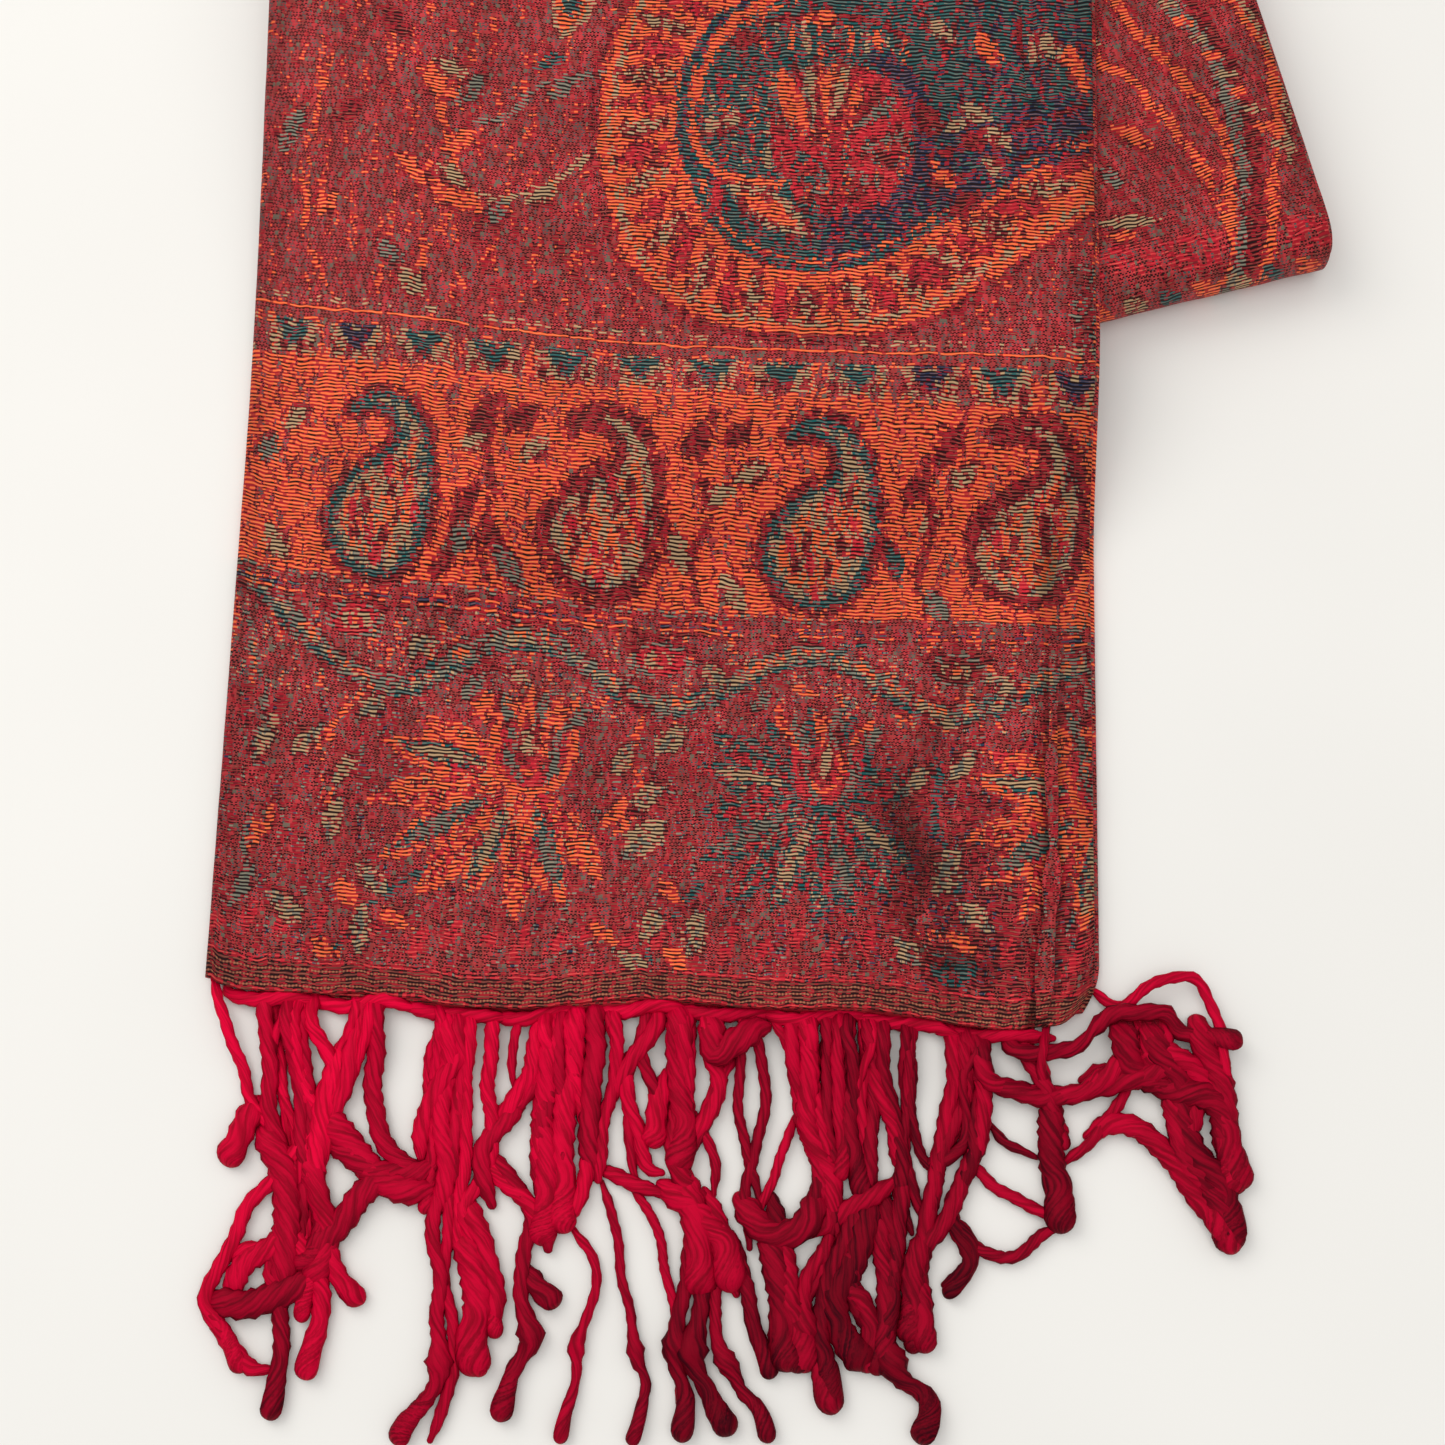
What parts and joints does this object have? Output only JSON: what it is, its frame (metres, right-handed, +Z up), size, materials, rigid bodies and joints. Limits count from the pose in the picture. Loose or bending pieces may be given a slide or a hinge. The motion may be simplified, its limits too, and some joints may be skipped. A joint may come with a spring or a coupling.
{
  "type": "paisley scarf",
  "caption": "Fringed jacquard scarf with a paisley border, folded in thirds and laid down as a loose pack, one end stretched out in front and a second stretch swinging out at the side.",
  "frame": {"origin": "centre of the folded pack's flat underside, on the surface that the scarf lies on", "axes": "+Z up from the surface; +Y along the front stretch from its near hem to its top fold; +X to the side where the second stretch swings out"},
  "size_m": [0.3442, 0.7458, 0.0276],
  "materials": {
    "woven_cloth": "jacquard weave, soft sheen",
    "woven_inner": "jacquard weave, soft sheen",
    "fringe_yarn": "twisted yarn, silky sheen"
  },
  "bodies": {
    "root": {"front_stretch": "woven_cloth", "second_stretch": "woven_cloth", "inner_layers": "woven_inner", "far_stretch": "woven_cloth", "near_fringe": "fringe_yarn", "far_fringe": "fringe_yarn"}
  },
  "joints": []
}
